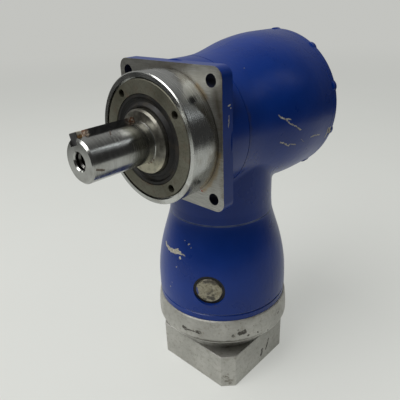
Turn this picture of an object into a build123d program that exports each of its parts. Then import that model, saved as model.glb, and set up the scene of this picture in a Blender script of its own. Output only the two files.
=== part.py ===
from build123d import *
from math import acos, atan, atan2, cos, degrees, hypot, pi, radians, sin, sqrt, tan
import os

# Right-angle bevel gearbox, millimetres, +Z up.
# Origin: centre of the motor mounting face. The input axis is the Z axis.
# The output axis is parallel to Y at height OUT_Z and the output shaft points to -Y.

# ---------------------------------------------------------------- driving dimensions
OUT_Z = 175.0            # height of the output axis over the motor face

# output flange and pilot
FLANGE_SIDE = 75.0
FLANGE_CORNER_R = 5.5
FLANGE_FRONT_Y = -41.0
FLANGE_BACK_Y = -33.0
FLANGE_HOLE_SPACING = 61.5
FLANGE_HOLE_R = 3.3
PILOT_R = 35.0
PILOT_FRONT_Y = -58.2
SPIGOT_R = 37.9          # round root behind the flange
SEAM_Y = -19.4           # joint between flange casting and housing

# output shaft
SHAFT_R = 11.0
SHAFT_END_Y = -98.2
COLLAR_R = 17.0
COLLAR_FACE_Y = -61.0
KEY_W = 6.0
KEY_H = 6.0
KEY_PROUD = 2.5
KEY_ANGLE = 18.0         # from +Z towards -X
CENTRE_THREAD_R = 3.4

# lock ring and seal
RING_R = 31.7
RING_HOLE_CIRCLE_R = 28.0
RING_HOLE_R = 2.15
RING_HOLE_ANGLE = 36.4
SEAL_R = 24.2

# barrel
BARREL_R = 46.2
BARREL_REAR_Y = 54.3
COVER_REAR_Y = 59.3
COVER_SCREWS = 10
COVER_SCREW_CIRCLE_R = 42.2

# neck and bell
NECK_R = 32.6
NECK_SEAM_Z = 118.0
NECK_SEAM_R = 33.1
BELL_R = 43.25
BELL_BOTTOM_Z = 56.0

# motor adapter
PLATE_SIDE = 67.0
PLATE_CHAMFER = 7.0
PLATE_TOP_Z = 25.5
ADAPTER_NECK_R = 33.2
RING_BOTTOM_Z = 38.5
ADAPTER_RING_R = 45.0
MOTOR_PILOT_R = 30.0
MOTOR_PILOT_DEPTH = 4.5
WELL_R = 27.0
MOTOR_HOLE_PCD = 75.0
MOTOR_HOLE_R = 2.1

# access plug on the bell
PLUG_Z = 78.0
PLUG_AZ = 29.7           # from -Y towards +X
PLUG_R = 8.2
NECK_FILLET_R = 5.0

# bevel gears, apex at (0, 0, OUT_Z)
GEAR_TEETH = 39
PINION_TEETH = 13
GEAR_PITCH_R = 35.0
PINION_PITCH_R = GEAR_PITCH_R * PINION_TEETH / GEAR_TEETH
FACE_W = 11.0
CLAMP_R = 9.5            # bore for the motor shaft

os.makedirs("parts", exist_ok=True)

# ---------------------------------------------------------------- shared frames
OUT = Plane(origin=(0, 0, OUT_Z), x_dir=(0, 0, 1), z_dir=(-1, 0, 0))   # local x = radius, local y = world Y
INP = Plane(origin=(0, 0, 0), x_dir=(1, 0, 0), z_dir=(0, -1, 0))       # local x = radius, local y = world Z
GAP_ANGLE = radians(90 + 180 / 13)   # the turned pinion's seam line lies between two teeth
INP_GAP = Plane(origin=(0, 0, 0), x_dir=(cos(GAP_ANGLE), sin(GAP_ANGLE), 0), z_dir=(sin(GAP_ANGLE), -cos(GAP_ANGLE), 0))
OUT_AXIS = Axis((0, 0, OUT_Z), (0, 1, 0))
INP_AXIS = Axis((0, 0, 0), (0, 0, 1))


def turn(frame, pts, mode=Mode.ADD):
    """Turned profile: pts are (position along the axis, radius)."""
    with BuildSketch(frame) as profile:
        with BuildLine():
            Polyline(*[(r, a) for a, r in pts], close=True)
        make_face()
    revolve(profile.sketch, axis=OUT_AXIS if frame is OUT else INP_AXIS, mode=mode)


def disc(frame, a0, a1, r, mode=Mode.ADD, at=(0.0, 0.0)):
    """Cylinder between two positions along an axis; at is the centre across it (X, Z offset or X, Y)."""
    if frame is OUT:
        plane = Plane(origin=(at[0], a0, OUT_Z + at[1]), x_dir=(1, 0, 0), z_dir=(0, 1, 0))
    else:
        plane = Plane(origin=(at[0], at[1], a0), x_dir=(1, 0, 0), z_dir=(0, 0, 1))
    with BuildSketch(plane) as circle:
        Circle(r)
    extrude(circle.sketch, amount=a1 - a0, mode=mode)


def around(n, r, start):
    """n points on a circle, start in degrees from the first cross axis."""
    return [(r * cos(radians(start + 360.0 * i / n)), r * sin(radians(start + 360.0 * i / n))) for i in range(n)]


def finish(part, name):
    part.part.label = name
    export_step(part.part, f"parts/{name}.step")
    return part.part


def cap_screw(frame, head_from, tip, d, at, socket):
    """Socket head screw: the head's outer face at head_from, the tip at tip."""
    s = 1 if tip > head_from else -1
    disc(frame, head_from, head_from + s * d, d * 0.85, at=at)
    disc(frame, head_from + s * d, tip, d * 0.5 - 0.05, at=at)
    if frame is OUT:
        plane = Plane(origin=(at[0], head_from, OUT_Z + at[1]), x_dir=(1, 0, 0), z_dir=(0, s, 0))
    else:
        plane = Plane(origin=(at[0], at[1], head_from), x_dir=(1, 0, 0), z_dir=(0, 0, s))
    with BuildSketch(plane) as hexagon:
        RegularPolygon(socket, 6)
    extrude(hexagon.sketch, amount=d * 0.55, mode=Mode.SUBTRACT)


# ---------------------------------------------------------------- output flange with pilot
h = FLANGE_HOLE_SPACING / 2
with BuildPart() as output_flange:
    with BuildSketch(Plane(origin=(0, FLANGE_FRONT_Y, OUT_Z), x_dir=(1, 0, 0), z_dir=(0, 1, 0))) as square:
        RectangleRounded(FLANGE_SIDE, FLANGE_SIDE, FLANGE_CORNER_R)
    extrude(square.sketch, amount=FLANGE_BACK_Y - FLANGE_FRONT_Y)
    # pilot with a small chamfer, and the round root behind the plate with a cone fillet
    turn(OUT, [(PILOT_FRONT_Y, 0), (PILOT_FRONT_Y, PILOT_R - 0.5), (PILOT_FRONT_Y + 0.5, PILOT_R), (FLANGE_FRONT_Y + 1, PILOT_R), (FLANGE_FRONT_Y + 1, 0)])
    turn(OUT, [(FLANGE_BACK_Y - 1, 0), (FLANGE_BACK_Y - 1, SPIGOT_R), (SEAM_Y - 0.4, SPIGOT_R), (SEAM_Y, SPIGOT_R - 0.4),
               (SEAM_Y, 33.95), (-15.0, 33.95), (-15.0, 0)])
    # inside: groove and thread for the lock ring, bearing seat, shoulder, oil space
    turn(OUT, [(PILOT_FRONT_Y - 1, 0), (PILOT_FRONT_Y - 1, 32.3), (-56.0, 32.3), (-56.0, RING_R + 0.05), (-50.2, RING_R + 0.05), (-50.2, 31.0),
               (-31.9, 31.0), (-31.9, 28.3), (-26.0, 28.3), (-26.0, 30.5), (-14.0, 30.5), (-14.0, 0)], mode=Mode.SUBTRACT)
    for x, z in ((h, h), (h, -h), (-h, h), (-h, -h)):
        disc(OUT, FLANGE_FRONT_Y - 1, FLANGE_BACK_Y + 1, FLANGE_HOLE_R, mode=Mode.SUBTRACT, at=(x, z))
    for x, z in around(3, 35.9, 90):
        disc(OUT, -23.2, SEAM_Y + 1, 1.27, mode=Mode.SUBTRACT, at=(x, z))
finish(output_flange, "output_flange")

# dowels that carry the torque across the joint between flange and housing
with BuildPart() as flange_dowel_pins:
    for x, z in around(3, 35.9, 90):
        disc(OUT, -23.0, -16.0, 1.25, at=(x, z))
finish(flange_dowel_pins, "flange_dowel_pins")

# ---------------------------------------------------------------- main housing
with BuildPart() as main_housing:
    with BuildSketch(OUT) as barrel:
        with BuildLine():
            curve = Spline(*[(r, y) for y, r in ((SEAM_Y, 37.95), (-12, 38.3), (-4, 39.3), (6, 41.4), (17, 43.9), (29, 45.6), (41, BARREL_R))],
                           tangents=((0.0, 1), (0.0, 1)), tangent_scalars=(0.5, 1.0))
            Polyline(curve @ 1, (BARREL_R, BARREL_REAR_Y), (0, BARREL_REAR_Y), (0, -50.0), (37.95, -50.0), curve @ 0)
        make_face()
    revolve(barrel.sketch, axis=OUT_AXIS)
    turn(INP, [(NECK_SEAM_Z, 0), (NECK_SEAM_Z, NECK_SEAM_R - 0.3), (NECK_SEAM_Z + 0.3, NECK_SEAM_R), (NECK_SEAM_Z + 5, NECK_R + 0.1), (NECK_SEAM_Z + 11, NECK_R),
               (165, NECK_R), (165, 0)])
    # cast fillet all round the neck, made on a barrel that runs past the front; the next cut takes that length off
    crease = [e for e in main_housing.edges() if e.geom_type != GeomType.LINE
              and e.bounding_box().min.Z > NECK_SEAM_Z + 11.5 and e.bounding_box().max.Z < 160 and e.bounding_box().max.Y < 40]
    fillet(crease, NECK_FILLET_R)
    # the flange's round root sits over the front of the neck
    disc(OUT, -60, SEAM_Y, SPIGOT_R + 0.15, mode=Mode.SUBTRACT)
    # and the fillet stops at the back of the flange plate
    disc(OUT, -60, FLANGE_BACK_Y, 50.0, mode=Mode.SUBTRACT)
    # spigot bore, gear chamber, cover register
    turn(OUT, [(SEAM_Y - 1, 0), (SEAM_Y - 1, 34.0), (4.0, 34.0), (6.5, 37.0), (30.0, 37.3), (45.0, 38.5), (BARREL_REAR_Y + 1, 38.5), (BARREL_REAR_Y + 1, 0)], mode=Mode.SUBTRACT)
    # pinion bearing bore from below and the pinion opening
    turn(INP, [(NECK_SEAM_Z - 1, 0), (NECK_SEAM_Z - 1, 23.5), (133.1, 23.5), (133.1, 20.5), (150, 20.5), (150, 0)], mode=Mode.SUBTRACT)
    for x, z in around(COVER_SCREWS, COVER_SCREW_CIRCLE_R, 18):
        disc(OUT, 41.5, BARREL_REAR_Y + 1, 2.05, mode=Mode.SUBTRACT, at=(x, z))
    for x, y in around(6, 28.4, 30):
        disc(INP, NECK_SEAM_Z - 1, 128.5, 2.05, mode=Mode.SUBTRACT, at=(x, y))
    for x, z in around(3, 35.9, 90):
        disc(OUT, SEAM_Y - 1, -15.8, 1.27, mode=Mode.SUBTRACT, at=(x, z))
finish(main_housing, "main_housing")

# ---------------------------------------------------------------- rear cover
with BuildPart() as rear_cover:
    turn(OUT, [(BARREL_REAR_Y, 0), (BARREL_REAR_Y, BARREL_R - 0.3), (BARREL_REAR_Y + 0.4, BARREL_R), (COVER_REAR_Y - 0.9, BARREL_R), (COVER_REAR_Y - 0.25, BARREL_R - 0.3),
               (COVER_REAR_Y, BARREL_R - 1.0), (COVER_REAR_Y, 30.0), (COVER_REAR_Y - 1.2, 28.8), (COVER_REAR_Y - 1.2, 0)])
    turn(OUT, [(47.0, 33.0), (47.0, 38.4), (50.2, 38.4), (50.2, 36.1), (52.8, 36.1), (52.8, 38.4), (BARREL_REAR_Y, 38.4), (BARREL_REAR_Y + 0.5, 38.4), (BARREL_REAR_Y + 0.5, 33.0)])
    turn(OUT, [(39.0, 26.02), (39.0, 30.2), (40.0, 31.2), (BARREL_REAR_Y + 0.5, 31.2), (BARREL_REAR_Y + 0.5, 26.02)])
    # cast bosses that stand a little proud of the rim, one at each screw
    for x, z in around(COVER_SCREWS, COVER_SCREW_CIRCLE_R, 18):
        disc(OUT, BARREL_REAR_Y + 1.6, COVER_REAR_Y - 0.2, 4.65, at=(x, z))
    for x, z in around(COVER_SCREWS, COVER_SCREW_CIRCLE_R, 18):
        disc(OUT, COVER_REAR_Y - 4.0, COVER_REAR_Y + 1, 3.7, mode=Mode.SUBTRACT, at=(x, z))
        disc(OUT, BARREL_REAR_Y - 1, COVER_REAR_Y, 2.2, mode=Mode.SUBTRACT, at=(x, z))
finish(rear_cover, "rear_cover")

with BuildPart() as rear_cover_screws:
    for x, z in around(COVER_SCREWS, COVER_SCREW_CIRCLE_R, 18):
        cap_screw(OUT, COVER_REAR_Y - 0.15, 42.5, 3.8, (x, z), 1.75)
finish(rear_cover_screws, "rear_cover_screws")

with BuildPart() as rear_cover_o_ring:
    with BuildSketch(OUT) as section:
        with Locations((37.3, 51.5)):
            Circle(1.17)
    revolve(section.sketch, axis=OUT_AXIS)
finish(rear_cover_o_ring, "rear_cover_o_ring")

# ---------------------------------------------------------------- input bell
plug_dir = Vector(sin(radians(PLUG_AZ)), -cos(radians(PLUG_AZ)), 0)


def plug_disc(d0, d1, r, mode=Mode.ADD):
    """Cylinder on the access hole's axis, between two distances from the input axis."""
    origin = plug_dir * d0 + Vector(0, 0, PLUG_Z)
    with BuildSketch(Plane(origin=origin, x_dir=(0, 0, 1), z_dir=plug_dir)) as circle:
        Circle(r)
    extrude(circle.sketch, amount=d1 - d0, mode=mode)


with BuildPart() as input_bell:
    with BuildSketch(INP) as bell:
        with BuildLine():
            side = Spline((BELL_R, 62.5), (43.1, 72), (41.75, 85), (38.85, 98), (35.3, 109.5), (NECK_SEAM_R, NECK_SEAM_Z - 0.3), tangents=((0, 1), (-0.12, 1)), tangent_scalars=(0.8, 0.6))
            Polyline(side @ 1, (NECK_SEAM_R - 0.3, NECK_SEAM_Z), (0, NECK_SEAM_Z), (0, BELL_BOTTOM_Z), (42.75, BELL_BOTTOM_Z), (43.0, BELL_BOTTOM_Z + 0.3), (43.0, 59.6),
                     (42.6, 60.0), (42.6, 60.5), (BELL_R, 61.2), side @ 0)
        make_face()
    revolve(bell.sketch, axis=INP_AXIS)
    # clutch space, then the bearing seat opened from above and the seal seat from below
    turn(INP, [(BELL_BOTTOM_Z - 1, 0), (BELL_BOTTOM_Z - 1, 32.4), (104.0, 32.4), (104.0, 24.6), (94.0, 24.6), (94.0, 21.05), (103.9, 21.05), (103.9, 23.5),
               (NECK_SEAM_Z + 1, 23.5), (NECK_SEAM_Z + 1, 0)], mode=Mode.SUBTRACT)
    plug_disc(25.0, 45.0, 7.5, mode=Mode.SUBTRACT)
    plug_disc(39.6, 46.0, 10.0, mode=Mode.SUBTRACT)
    for x, y in around(6, 28.4, 30):
        disc(INP, 103, NECK_SEAM_Z + 1, 2.2, mode=Mode.SUBTRACT, at=(x, y))
    for x, y in around(4, 37.9, 0):
        disc(INP, BELL_BOTTOM_Z - 1, 68.0, 2.55, mode=Mode.SUBTRACT, at=(x, y))
finish(input_bell, "input_bell")

with BuildPart() as bell_screws:
    for x, y in around(6, 28.4, 30):
        cap_screw(INP, 100.0, 127.5, 4.0, (x, y), 1.75)
finish(bell_screws, "bell_screws")

with BuildPart() as access_plug:
    plug_disc(39.65, 41.95, PLUG_R)
    chamfer(access_plug.faces().sort_by(Axis(origin=(0, 0, PLUG_Z), direction=plug_dir))[-1].edges(), 0.5)
    plug_disc(34.5, 39.65, 7.4)
    plug_disc(33.5, 38.0, 5.6, mode=Mode.SUBTRACT)
finish(access_plug, "access_plug")

with BuildPart() as plug_seal_ring:
    plug_disc(39.65, 41.2, 9.9)
    plug_disc(39.0, 42.0, PLUG_R + 0.05, mode=Mode.SUBTRACT)
finish(plug_seal_ring, "plug_seal_ring")

# ---------------------------------------------------------------- motor adapter
m = MOTOR_HOLE_PCD / 2 / sqrt(2)
with BuildPart() as adapter_plate:
    with BuildSketch(Plane.XY) as plate:
        Rectangle(PLATE_SIDE, PLATE_SIDE)
        chamfer(plate.vertices(), PLATE_CHAMFER)
    extrude(plate.sketch, amount=PLATE_TOP_Z)
    chamfer(adapter_plate.faces().sort_by(Axis.Z)[-1].edges(), 0.4)
    turn(INP, [(PLATE_TOP_Z - 1, 0), (PLATE_TOP_Z - 1, ADAPTER_NECK_R), (RING_BOTTOM_Z, ADAPTER_NECK_R), (RING_BOTTOM_Z, 43.0), (40.5, ADAPTER_RING_R), (43.0, ADAPTER_RING_R),
               (48.0, 44.75), (53.0, 44.2), (55.3, 43.7), (BELL_BOTTOM_Z, 43.1), (BELL_BOTTOM_Z, 32.3), (58.5, 32.3), (58.5, 0)])
    turn(INP, [(-1, 0), (-1, MOTOR_PILOT_R), (MOTOR_PILOT_DEPTH, MOTOR_PILOT_R), (MOTOR_PILOT_DEPTH, WELL_R), (60, WELL_R), (60, 0)], mode=Mode.SUBTRACT)
    for x, y in ((m, m), (m, -m), (-m, m), (-m, -m)):
        disc(INP, -1, 14.0, MOTOR_HOLE_R, mode=Mode.SUBTRACT, at=(x, y))
    for x, y in around(4, 37.9, 0):
        disc(INP, RING_BOTTOM_Z - 1, 44.6, 4.6, mode=Mode.SUBTRACT, at=(x, y))
        disc(INP, RING_BOTTOM_Z, 60.0, 2.7, mode=Mode.SUBTRACT, at=(x, y))
finish(adapter_plate, "adapter_plate")

with BuildPart() as adapter_screws:
    for x, y in around(4, 37.9, 0):
        cap_screw(INP, 39.5, 67.0, 5.0, (x, y), 2.3)
finish(adapter_screws, "adapter_screws")

# ---------------------------------------------------------------- lock ring and seal in the pilot
with BuildPart() as bearing_lock_ring:
    turn(OUT, [(-57.9, SEAL_R + 0.05), (-57.9, 31.1), (-57.6, 31.4), (-55.9, 31.4), (-55.9, RING_R), (-50.3, RING_R), (-50.3, 27.0), (-50.6, SEAL_R + 0.05)])
    for x, z in around(4, RING_HOLE_CIRCLE_R, RING_HOLE_ANGLE):
        disc(OUT, -59, -53.4, RING_HOLE_R, mode=Mode.SUBTRACT, at=(x, z))
finish(bearing_lock_ring, "bearing_lock_ring")

with BuildPart() as output_seal:
    turn(OUT, [(-57.7, 23.9), (-57.4, SEAL_R), (-51.0, SEAL_R), (-51.0, 20.4), (-52.6, 20.4), (-52.6, 22.2), (-55.2, 22.2), (-55.2, 19.4), (-53.2, COLLAR_R + 0.05), (-55.9, COLLAR_R + 0.05),
               (-58.1, COLLAR_R + 0.35), (-58.3, COLLAR_R + 1.4), (-57.2, 19.5), (-56.7, 20.0), (-56.7, 21.6), (-57.2, 22.1), (-57.7, 22.5)])
finish(output_seal, "output_seal")

# ---------------------------------------------------------------- output shaft and key
key_out = Vector(-sin(radians(KEY_ANGLE)), 0, cos(radians(KEY_ANGLE)))
key_side = Vector(cos(radians(KEY_ANGLE)), 0, sin(radians(KEY_ANGLE)))
AXIS_POINT = Vector(0, 0, OUT_Z)


def key_block(y0, y1, r0, r1, w, mode=Mode.ADD, rounded=False, outward=None):
    """Block along the output axis from y0 to y1, from radius r0 to r1 in the key's direction."""
    out = outward or key_out
    with BuildSketch(Plane(origin=AXIS_POINT + out * r0 + Vector(0, (y0 + y1) / 2, 0), x_dir=(0, 1, 0), z_dir=out)) as block:
        if rounded:
            SlotOverall(y1 - y0, w)
        else:
            Rectangle(y1 - y0, w)
    extrude(block.sketch, amount=r1 - r0, mode=mode)


GEAR_KEY_DIR = Vector(0, 0, 1)
with BuildPart() as output_shaft:
    turn(OUT, [(SHAFT_END_Y, 0), (SHAFT_END_Y, SHAFT_R - 1.0), (SHAFT_END_Y + 1.0, SHAFT_R), (COLLAR_FACE_Y - 0.6, SHAFT_R), (COLLAR_FACE_Y - 0.17, SHAFT_R + 0.17), (COLLAR_FACE_Y, SHAFT_R + 0.6),
               (COLLAR_FACE_Y, COLLAR_R - 1.0), (COLLAR_FACE_Y + 1.0, COLLAR_R), (-50.4, COLLAR_R), (-50.2, 17.5), (-32.0, 17.5), (-32.0, 21.0), (-28.0, 21.0),
               (-27.0, 18.5), (6.0, 18.5), (6.0, 16.0), (30.0, 16.0), (30.0, 15.0), (37.6, 15.0), (37.6, 12.5), (52.0, 12.5), (52.6, 11.9), (52.6, 0)])
    # threaded centre hole with a protecting countersink
    turn(OUT, [(SHAFT_END_Y - 1, 0), (SHAFT_END_Y - 1, 5.0), (SHAFT_END_Y, 5.0), (SHAFT_END_Y + 0.8, 4.5), (SHAFT_END_Y + 2.4, 4.3), (SHAFT_END_Y + 3.2, CENTRE_THREAD_R),
               (SHAFT_END_Y + 21, CENTRE_THREAD_R), (SHAFT_END_Y + 23, 0)], mode=Mode.SUBTRACT)
    key_block(SHAFT_END_Y - 4, COLLAR_FACE_Y - 0.8, SHAFT_R - (KEY_H - KEY_PROUD), SHAFT_R + 4, KEY_W + 0.04, mode=Mode.SUBTRACT, rounded=True)
    key_block(8.0, 28.0, 12.0, 18.0, 8.04, mode=Mode.SUBTRACT, rounded=True, outward=GEAR_KEY_DIR)
finish(output_shaft, "output_shaft")

with BuildPart() as shaft_key:
    key_block(SHAFT_END_Y + 1.0, COLLAR_FACE_Y - 3.8, SHAFT_R - (KEY_H - KEY_PROUD) + 0.02, SHAFT_R + KEY_PROUD, KEY_W)
    # rounded inner end
    with BuildSketch(Plane(origin=AXIS_POINT + key_out * (SHAFT_R - (KEY_H - KEY_PROUD) + 0.02) + Vector(0, COLLAR_FACE_Y - 3.83, 0), x_dir=(0, 1, 0), z_dir=key_out)) as key_end:
        Circle(KEY_W / 2)
    extrude(key_end.sketch, amount=KEY_H - 0.02)
    # extraction notch across the top near the outer end
    key_block(SHAFT_END_Y + 3.9, SHAFT_END_Y + 7.4, SHAFT_R - 0.6, SHAFT_R + 4, KEY_W + 2, mode=Mode.SUBTRACT)
    chamfer(shaft_key.faces().sort_by(Axis(origin=AXIS_POINT, direction=key_out)).filter_by(Plane(origin=AXIS_POINT, z_dir=key_out))[-1].edges(), 0.3)
finish(shaft_key, "shaft_key")

# ---------------------------------------------------------------- bevel gears
PITCH_LEN = hypot(GEAR_PITCH_R, PINION_PITCH_R)
TOE = (PITCH_LEN - FACE_W) / PITCH_LEN
MODULE = 2 * GEAR_PITCH_R / GEAR_TEETH


def tooth_profile(r_back, half_pitch, addendum, dedendum, root_extra):
    """Right flank of a tooth on the back cone: (height over the pitch line, half width)."""
    rb = r_back * cos(radians(20.0))

    def inv(r):
        a = acos(min(1.0, rb / r))
        return tan(a) - a

    pts = []
    r_root = r_back - dedendum
    r_tip = r_back + addendum
    base = inv(r_back)
    start = max(rb, r_root)
    if r_root < rb:
        half = half_pitch / r_back + base
        pts.append((-dedendum, half * r_root))
    for i in range(5):
        r = start + (r_tip - start) * i / 4
        pts.append((r - r_back, (half_pitch / r_back + base - inv(max(r, rb))) * r))
    first = pts[0]
    pts.insert(0, (first[0] - root_extra, first[1] + 0.15))
    return pts


def bevel_tooth(frame_axis, up, side, pitch_point, profile):
    """One straight bevel tooth: the heel section and its copy towards the apex, joined by flat faces."""
    along = pitch_point.normalized()
    outer = [(w, hgt) for hgt, w in profile]
    outline = outer + [(-w, hgt) for w, hgt in reversed(outer)]
    for_heel = Plane(origin=AXIS_POINT + pitch_point, x_dir=side, z_dir=along)
    sign = 1.0 if for_heel.y_dir.dot(up) > 0 else -1.0
    with BuildSketch(for_heel) as heel:
        with BuildLine():
            Polyline(*[(w, sign * hgt) for w, hgt in outline], close=True)
        make_face()
    for_toe = Plane(origin=AXIS_POINT + pitch_point * TOE, x_dir=side, z_dir=along)
    with BuildSketch(for_toe) as toe:
        with BuildLine():
            Polyline(*[(w * TOE, sign * hgt * TOE) for w, hgt in outline], close=True)
        make_face()
    loft([heel.sketch, toe.sketch], ruled=True)


gear_cone = atan2(GEAR_PITCH_R, PINION_PITCH_R)
# direction from the apex to the mesh point, in the YZ plane
MESH = Vector(0, PINION_PITCH_R, -GEAR_PITCH_R)
GEAR_ADD, GEAR_DED = 1.05, 2.5
PIN_ADD, PIN_DED = 2.05, 1.55
gear_prof = tooth_profile(GEAR_PITCH_R / cos(gear_cone), 1.16, GEAR_ADD, GEAR_DED, 0.35)
pinion_prof = tooth_profile(PINION_PITCH_R / sin(gear_cone), 1.34, PIN_ADD, PIN_DED, 0.35)
cg, sg = cos(gear_cone), sin(gear_cone)
# gear root line: heel and toe, (y, r)
g_root = (PINION_PITCH_R + GEAR_DED * sg, GEAR_PITCH_R - GEAR_DED * cg)
g_root_toe = (g_root[0] * TOE, g_root[1] * TOE)
g_tip = (PINION_PITCH_R - GEAR_ADD * sg, GEAR_PITCH_R + GEAR_ADD * cg)

with BuildPart() as crown_gear:
    turn(OUT, [(6.05, 16.03), (6.05, 20.5), (10.6, 21.2), (10.6, 23.2), g_root_toe, g_root, (g_root[0] + 3.2, g_root[1] - 1.1), (21.0, 31.0), (21.0, 23.5), (29.9, 23.5), (29.9, 16.03)])
    for i in range(GEAR_TEETH):
        t = 2 * pi * (i + 0.5) / GEAR_TEETH
        turned = lambda v: Vector(v.X * cos(t) + v.Z * sin(t), v.Y, -v.X * sin(t) + v.Z * cos(t))
        bevel_tooth(OUT, turned(Vector(0, -sg, -cg)), turned(Vector(1, 0, 0)), turned(MESH), gear_prof)
    key_block(5.0, 31.0, 10.0, 19.3, 8.04, mode=Mode.SUBTRACT, outward=GEAR_KEY_DIR)
finish(crown_gear, "crown_gear")

with BuildPart() as gear_key:
    key_block(8.02, 27.98, 12.02, 19.2, 8.0, rounded=True, outward=GEAR_KEY_DIR)
finish(gear_key, "gear_key")

with BuildPart() as gear_lock_nut:
    turn(OUT, [(30.0, 15.02), (30.0, 21.6), (30.6, 22.2), (36.4, 22.2), (37.0, 21.6), (37.0, 15.02)])
    for i in range(4):
        a = radians(45 + 90 * i)
        key_block(29.0, 38.0, 20.0, 24.0, 5.0, mode=Mode.SUBTRACT, outward=Vector(sin(a), 0, cos(a)))
finish(gear_lock_nut, "gear_lock_nut")

# pinion and input shaft in one piece, with the slotted hollow end for the motor shaft


def to_apex(zr, k):
    return (OUT_Z - (OUT_Z - zr[0]) * k, zr[1] * k)


# root at the heel: from the pitch point, away from the gear, which is (-Y, -Z) at the mesh point
p_root = (OUT_Z - GEAR_PITCH_R - PIN_DED * cg, PINION_PITCH_R - PIN_DED * sg)
p_root_toe = to_apex(p_root, TOE * 0.985)
p_root_heel = to_apex(p_root, 1.015)
with BuildPart() as pinion_shaft:
    turn(INP_GAP, [(60.0, 0), (60.0, 16.6), (60.4, 17.0), (92.6, 17.0), (93.0, 16.6), (93.0, 12.5), (133.2, 12.5), (133.2, 15.2), (136.6, 15.2), (137.6, 9.4), p_root_heel, p_root_toe,
                   (151.6, 6.4), (151.6, 0)])
    for i in range(PINION_TEETH):
        t = 2 * pi * i / PINION_TEETH
        turned = lambda v: Vector(v.X * cos(t) - v.Y * sin(t), v.X * sin(t) + v.Y * cos(t), v.Z)
        bevel_tooth(INP, turned(Vector(0, sg, cg)), turned(Vector(1, 0, 0)), turned(MESH), pinion_prof)
    turn(INP, [(59.0, 0), (59.0, CLAMP_R + 0.6), (60.0, CLAMP_R + 0.6), (60.6, CLAMP_R), (90.0, CLAMP_R), (92.0, 0)], mode=Mode.SUBTRACT)
    for i in range(3):
        a = radians(PLUG_AZ - 90 + 60 + 120 * i)
        with BuildSketch(Plane(origin=(13.0 * cos(a), 13.0 * sin(a), 59.0), x_dir=(cos(a), sin(a), 0), z_dir=(0, 0, 1))) as slit:
            Rectangle(10.0, 1.8)
        extrude(slit.sketch, amount=28.0, mode=Mode.SUBTRACT)
finish(pinion_shaft, "pinion_shaft")

with BuildPart() as input_shaft_nut:
    turn(INP, [(93.6, 12.52), (93.6, 14.4), (94.2, 15.0), (103.9, 15.0), (103.9, 12.52)])
finish(input_shaft_nut, "input_shaft_nut")

with BuildPart() as input_seal:
    turn(INP, [(95.0, 15.05), (95.0, 17.0), (96.2, 18.0), (96.2, 19.6), (95.0, 20.4), (95.0, 21.0), (102.0, 21.0), (102.0, 19.2), (99.2, 19.2), (99.2, 17.6), (101.4, 16.6), (101.4, 16.0), (99.0, 15.05)])
finish(input_seal, "input_seal")

with BuildPart() as clamping_ring:
    turn(INP, [(70.0, 17.03), (70.0, 26.0), (70.8, 26.8), (85.2, 26.8), (86.0, 26.0), (86.0, 17.03)])
    plug_disc(10.0, 30.0, 4.0, mode=Mode.SUBTRACT)
finish(clamping_ring, "clamping_ring")

with BuildPart() as clamp_screw:
    plug_disc(17.15, 26.3, 3.95)
    with BuildSketch(Plane(origin=plug_dir * 26.3 + Vector(0, 0, PLUG_Z), x_dir=(0, 0, 1), z_dir=plug_dir)) as socket:
        RegularPolygon(2.3, 6)
    extrude(socket.sketch, amount=-5.0, mode=Mode.SUBTRACT)
finish(clamp_screw, "clamp_screw")


# ---------------------------------------------------------------- bearings
def bearing(prefix, frame, a0, a1, bore_r, od_r, ball_r, balls, stem):
    """Ball bearing in five pieces: outer race, inner race, balls and cage."""
    mid = (a0 + a1) / 2
    rp = (bore_r + od_r) / 2
    gap = ball_r * 0.62
    axis = OUT_AXIS if frame is OUT else INP_AXIS
    origin = Vector(0, 0, OUT_Z) if frame is OUT else Vector(0, 0, 0)

    def spot(i):
        t = 2 * pi * i / balls
        if frame is OUT:
            return (rp * cos(t), mid, OUT_Z + rp * sin(t))
        return (rp * cos(t), rp * sin(t), mid)

    with BuildPart() as outer:
        turn(frame, [(a0, rp + gap), (a0, od_r - 0.4), (a0 + 0.4, od_r), (a1 - 0.4, od_r), (a1, od_r - 0.4), (a1, rp + gap)])
        with BuildSketch(frame) as groove:
            with Locations((rp, mid)):
                Circle(ball_r + 0.06)
        revolve(groove.sketch, axis=axis, mode=Mode.SUBTRACT)
    finish(outer, f"{prefix}_outer_race")
    with BuildPart() as inner:
        turn(frame, [(a0, bore_r + 0.4), (a0, rp - gap), (a1, rp - gap), (a1, bore_r + 0.4), (a1 - 0.4, bore_r), (a0 + 0.4, bore_r)])
        with BuildSketch(frame) as groove:
            with Locations((rp, mid)):
                Circle(ball_r + 0.06)
        revolve(groove.sketch, axis=axis, mode=Mode.SUBTRACT)
    finish(inner, f"{prefix}_inner_race")
    with BuildPart() as ball_set:
        with Locations(*[spot(i) for i in range(balls)]):
            Sphere(ball_r)
    finish(ball_set, f"{prefix}_{stem}")
    with BuildPart() as cage:
        turn(frame, [(mid - ball_r - 0.8, rp - 0.9), (mid - ball_r - 0.8, rp + 0.9), (mid + ball_r + 0.8, rp + 0.9), (mid + ball_r + 0.8, rp - 0.9)])
        for i in range(balls):
            t = 2 * pi * (i + 0.0) / balls
            radial = Vector(cos(t), 0, sin(t)) if frame is OUT else Vector(cos(t), sin(t), 0)
            with BuildSketch(Plane(origin=Vector(*spot(i)) - radial * 2, x_dir=Vector(0, 1, 0) if frame is OUT else Vector(0, 0, 1), z_dir=radial)) as pocket:
                Circle(ball_r + 0.1)
            extrude(pocket.sketch, amount=4, mode=Mode.SUBTRACT)
    finish(cage, f"{prefix}_cage")


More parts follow.
